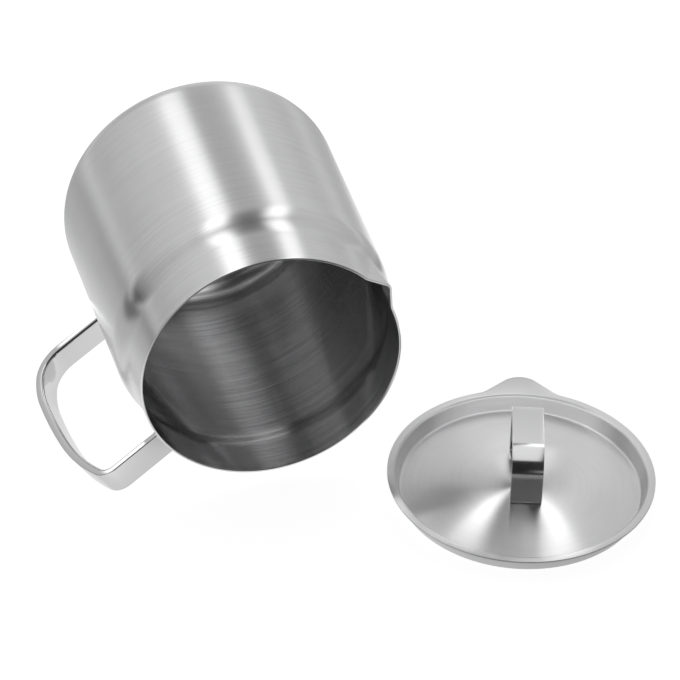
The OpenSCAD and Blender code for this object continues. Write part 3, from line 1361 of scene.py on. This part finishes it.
@dataclass(frozen=True)
class Studio:
    """The studio that the steel reflects.

    The four bands give brightness by the angle round Y, the way that the jug lies: 0 is at the
    right, 90 above and 180 at the left. The next three say where one band gives way to another,
    by a direction's own Y, which is -1 towards the mouth's side and 1 towards the bottom's.
    """

    back: Band = (
        (-180, 0.62), (-150, 0.62), (-110, 0.8), (-50, 0.8), (-30, 0.6), (-10, 0.6), (10, 0.69),
        (30, 0.86), (45, 0.83), (60, 0.72), (70, 0.65), (80, 0.66), (92, 0.82), (110, 1.04),
        (130, 0.95), (150, 0.84), (170, 0.68), (180, 0.60),
    )
    above: Band = (
        (-180, 0.03), (-171, 0.1), (-162, 0.6), (0, 0.66), (30, 0.78), (48, 0.80), (62, 0.55),
        (74, 0.24), (86, 0.22), (96, 0.42), (110, 0.85), (128, 0.88), (143, 0.74), (160, 0.60),
        (170, 0.38), (177, 0.04), (180, 0.03),
    )
    front: Band = (
        (-180, 0.6), (-10, 0.18), (15, 0.15), (33, 0.15), (55, 0.12), (75, 0.05), (140, 0.05),
        (165, 0.4), (180, 0.6),
    )
    far: Band = (
        (-180, 0.56), (-60, 1.2), (-20, 1.0), (25, 1.0), (60, 0.9), (90, 0.66), (150, 0.55),
        (180, 0.56),
    )
    above_to_back: Point = (0.45, 0.62)
    back_to_far: Point = (0.80, 0.90)
    above_to_front: Point = (-0.1, -0.45)
    lamps: tuple[Strip, ...] = (
        # The long lamp over the right of the jug
        Strip((0.148, 0.0, 0.57), (0.48, 1.0, 0.57), width=0.145, edge=0.5, first=1.9, last=1.05),
        # The long lamp over the left of the jug
        Strip((-0.185, 0.02, 0.518), (-0.07, 0.80, 0.518), width=0.14, edge=0.5, first=1.9, last=1.3),
    )
    flags: tuple[Strip, ...] = (
        # The bright fan at the lid's right
        Strip((0.0945, -0.012, 0.05), (0.0885, -0.064, 0.05),
              width=0.014, edge=0.5, first=3.2, last=3.2, taper=0.6),
        # The bright fan at the lid's left
        Strip((0.0670, -0.0120, 0.05), (0.0405, -0.0385, 0.05),
              width=0.017, edge=0.4, first=3.2, last=3.2, taper=0.3),
        # The dark fan at the lid's far left
        Strip((0.0710, 0.0055, 0.05), (0.0357, -0.004, 0.05),
              width=0.028, edge=0.5, first=0.01, last=0.01, taper=0.3),
        # The front bend of the lid's handle
        Strip((0.0665, -0.053, 0.045), (0.0545, -0.088, 0.045),
              width=0.020, edge=0.2, first=0.95, last=0.9),
        # The lid's tab
        Strip((0.0975, 0.038, 0.05), (0.104, 0.076, 0.05), width=0.034, edge=0.4, first=0.25, last=0.25),
        # The inside of the jug near its mouth
        Strip((0.002, -0.0355, 0.025), (0.002, -0.0355, 0.09),
              width=0.036, edge=0.5, first=1.3, last=1.1, facing=(0.0, 1.0, 0.0)),
        # The flat top of the lid's handle
        Strip((0.0657, -0.0550, 0.036), (0.0775, -0.0205, 0.036),
              width=0.019, edge=0.1, first=0.78, last=0.66),
        # The dark fan between the lid's bright ones
        Strip((0.0748, -0.0132, 0.0495), (0.0597, -0.0498, 0.0495),
              width=0.019, edge=0.3, first=0.02, last=0.02, taper=0.35),
        # The far side of the lid's plug wall
        Strip((0.0756, -0.0275, 0.009), (0.0756, -0.0275, 0.023),
              width=0.022, edge=0.3, first=1.7, last=1.7, facing=(0.326, 0.946, 0.0)),
        # The dark front of the lid's handle
        Strip((0.03, -0.115, 0.005), (0.03, -0.115, 0.085),
              width=0.05, edge=0.4, first=0.02, last=0.02, facing=(0.0, 1.0, 0.0)),
        # The side faces of the jug handle's arms, at the bottom and at the mouth
        Strip((-0.0920, 0.0752, 0.0350), (-0.1125, 0.0712, 0.0230),
              width=0.006, edge=0.3, first=2.0, last=1.8, facing=ARM_SIDE),
        Strip((-0.0920, -0.0120, 0.0340), (-0.1110, -0.0149, 0.0212),
              width=0.006, edge=0.3, first=2.0, last=1.8, facing=ARM_SIDE),
    )
    floor_half: float = 4.0
    floor_matt: float = 0.08
    floor_centre: Place = (0.015, 0.05, 0.0)
    floor_round: Point = (0.06, 0.25)
    floor_near: float = 1.0
    floor_far: float = 0.5
    back_y: Point = (0.6, 1.2)
    back_glow: float = 0.5
    spots: tuple[Spot, ...] = (
        # In front of the jug's handle
        Spot((-0.15, -0.085, 0.0), near=0.03, far=0.09, strength=0.7),
        # Behind the lid
        Spot((0.075, 0.17, 0.0), near=0.03, far=0.13, strength=0.55),
    )
    handle_glow: Patch = Patch(x=(-0.1, -0.18), y=(-0.02, -0.12), strength=0.2)
    corner_shade: Patch = Patch(x=(-0.32, -0.46), y=(0.6, 0.3), strength=0.75)
    mouth_shade: Patch = Patch(x=(-0.08, -0.03), y=(-0.03, -0.08), strength=0.9)
    lid_centre: Place = (0.064, -0.0545, 0.0)
    lid_round: Point = (0.06, 0.075)
    shown_matt: float = 0.22
    shown_glow: float = 0.93


def band_light(t: Tree, turn: bpy.types.NodeSocket, stops: Band) -> bpy.types.NodeSocket:
    """Brightness by the angle round the jug's lying axis.

    Args:
        t: The tree to add to.
        turn: The angle as a share of a full turn, half at the right.
        stops: Angles with their brightness, in order.

    Returns:
        The brightness.
    """
    node = t.add("ShaderNodeValToRGB", Fac=turn)
    ramp = node.color_ramp
    ramp.interpolation = "EASE"
    top = max(value for _, value in stops)
    while len(ramp.elements) < len(stops):
        ramp.elements.new(0.5)
    for element, (angle, value) in zip(ramp.elements, stops):
        element.position = (angle + 180) / 360
        element.color = (value / top, value / top, value / top, 1)
    return t.math("MULTIPLY", node.outputs["Color"], top)


def world(studio: Studio) -> None:
    """Builds the studio as the world's light, with pure white for the camera.

    Args:
        studio: The bands of light.
    """
    scene = bpy.context.scene
    scene.world = bpy.data.worlds.new("studio")
    scene.world.use_nodes = True
    t = Tree(scene.world.node_tree)
    t.tree.nodes.clear()
    place = t.add("ShaderNodeTexCoord").outputs["Generated"]
    parts = t.add("ShaderNodeSeparateXYZ", i0=place).outputs
    angle = t.math("ARCTAN2", parts["Z"], parts["X"])
    turn = t.math("ADD", t.math("DIVIDE", angle, math.tau), 0.5)
    every = (studio.back, studio.above, studio.front, studio.far)
    back, above, front, far = (band_light(t, turn, stops) for stops in every)
    behind, deep, ahead = (
        t.ramp(parts["Y"], *change)
        for change in (studio.above_to_back, studio.back_to_far, studio.above_to_front)
    )
    light = t.mix(behind, above, t.mix(deep, back, far))
    light = t.mix(ahead, light, front)
    seen = t.add("ShaderNodeLightPath").outputs["Is Camera Ray"]
    shader = t.add("ShaderNodeBackground", Strength=t.mix(seen, light, 1.0))
    t.add("ShaderNodeOutputWorld", Surface=shader.outputs[0])


def floor(studio: Studio) -> None:
    """Makes a white floor that keeps a faint shadow, and that the steel sees with painted glows and painted
    shade in patches.

    Args:
        studio: The floor's sizes, spots and patches.
    """
    half = studio.floor_half
    mesh = bpy.data.meshes.new("floor")
    corners = [(-half, -half, 0), (half, -half, 0), (half, half, 0), (-half, half, 0)]
    mesh.from_pydata(corners, [], [(0, 1, 2, 3)])
    material, t = blank_material("floor")
    m = t.math
    place = t.add("ShaderNodeTexCoord").outputs["Object"]
    parts = t.add("ShaderNodeSeparateXYZ", i0=place).outputs

    def away(spot: Place) -> bpy.types.NodeSocket:
        """Distance from a spot."""
        return t.add("ShaderNodeVectorMath", {"operation": "DISTANCE"}, i0=place, i1=spot).outputs["Value"]

    def share(patch: Patch) -> bpy.types.NodeSocket:
        """How full a patch is."""
        return m("MULTIPLY", t.ramp(parts["X"], *patch.x), t.ramp(parts["Y"], *patch.y))

    # Painted pools of light on the floor, seen in the steel but not by the camera
    glow = t.ramp(away(studio.floor_centre), *studio.floor_round, studio.floor_near, studio.floor_far)
    glow = m("ADD", glow, t.ramp(parts["Y"], *studio.back_y, 0, studio.back_glow))
    for spot in studio.spots:
        glow = m("ADD", glow, t.ramp(away(spot.centre), spot.near, spot.far, spot.strength, 0.0))
    glow = m("ADD", glow, m("MULTIPLY", share(studio.handle_glow), studio.handle_glow.strength))
    # Painted shade at the far corner and in front of the mouth, seen in the steel but not by the camera
    corner = share(studio.corner_shade)
    mouth = m("MULTIPLY", share(studio.mouth_shade), t.ramp(away(studio.lid_centre), *studio.lid_round))
    lit = m("MULTIPLY", t.rest(m("MULTIPLY", mouth, studio.mouth_shade.strength)),
            t.rest(m("MULTIPLY", corner, studio.corner_shade.strength)))
    grey = m("MULTIPLY", lit, studio.floor_matt)
    shade = t.add("ShaderNodeCombineXYZ", i0=grey, i1=grey, i2=grey)
    matt = t.add("ShaderNodeBsdfDiffuse", Color=shade.outputs[0])
    sheen = t.add("ShaderNodeEmission", Color=WHITE, Strength=m("MULTIPLY", glow, lit))
    plain = t.add("ShaderNodeAddShader", i0=matt.outputs[0], i1=sheen.outputs[0])
    faint = t.add("ShaderNodeBsdfDiffuse", Color=(*[studio.shown_matt] * 3, 1))
    white = t.add("ShaderNodeEmission", Color=WHITE, Strength=studio.shown_glow)
    bright = t.add("ShaderNodeAddShader", i0=faint.outputs[0], i1=white.outputs[0])
    seen = t.add("ShaderNodeLightPath").outputs["Is Camera Ray"]
    shown = t.add("ShaderNodeMixShader", i0=seen, i1=plain.outputs[0], i2=bright.outputs[0])
    t.add("ShaderNodeOutputMaterial", Surface=shown.outputs[0])
    mesh.materials.append(material)
    link(bpy.data.objects.new("floor", mesh))


def camera(fit: CameraFit, base: Vector) -> None:
    """Sets the photograph's camera.

    Args:
        fit: The camera.
        base: The jug's bottom centre, in metres.
    """
    data = bpy.data.cameras.new("camera")
    data.lens, data.sensor_width = fit.lens, fit.sensor
    data.shift_x, data.shift_y = -fit.shift_px / PHOTO_SIDE, fit.shift_px / PHOTO_SIDE
    data.clip_start, data.clip_end = fit.near_m, fit.far_m
    spot = Vector((base.x, base.y, 0)) + Vector(fit.offset) * MM
    turn = Matrix.Rotation(math.radians(-fit.azimuth), 4, "Z")
    tilt = Matrix.Rotation(math.radians(90 - fit.look_down), 4, "X")
    roll = Matrix.Rotation(math.radians(fit.roll), 4, "Z")
    obj = link(bpy.data.objects.new("camera", data))
    obj.matrix_world = Matrix.Translation(spot) @ turn @ tilt @ roll
    bpy.context.scene.camera = obj


def main() -> None:
    """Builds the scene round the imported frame."""
    logging.basicConfig(level=logging.INFO, format="%(name)s: %(message)s")
    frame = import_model()
    mount = next(m for m in frame["record"]["mounts"] if m["name"] == "jug_base")
    base = Vector(mount["pos_m"])
    group = brush_group()
    finishes = {name: finish.material(group) for name, finish in FINISHES.items()}
    shop = Shop(finishes, lathe_tree(), strap_tree())
    for piece in (*Jug(shop, base).build(), *Lid(shop).build()):
        piece.hang()
    studio = Studio()
    world(studio)
    for i, strip in enumerate(studio.lamps + studio.flags):
        strip.hang(f"lamp_{i}", lights_floor=i < len(studio.lamps))
    floor(studio)
    camera(CameraFit(), base)
    bpy.context.scene.view_settings.view_transform = "Standard"
    bpy.context.view_layer.update()


if __name__ == "__main__":
    main()
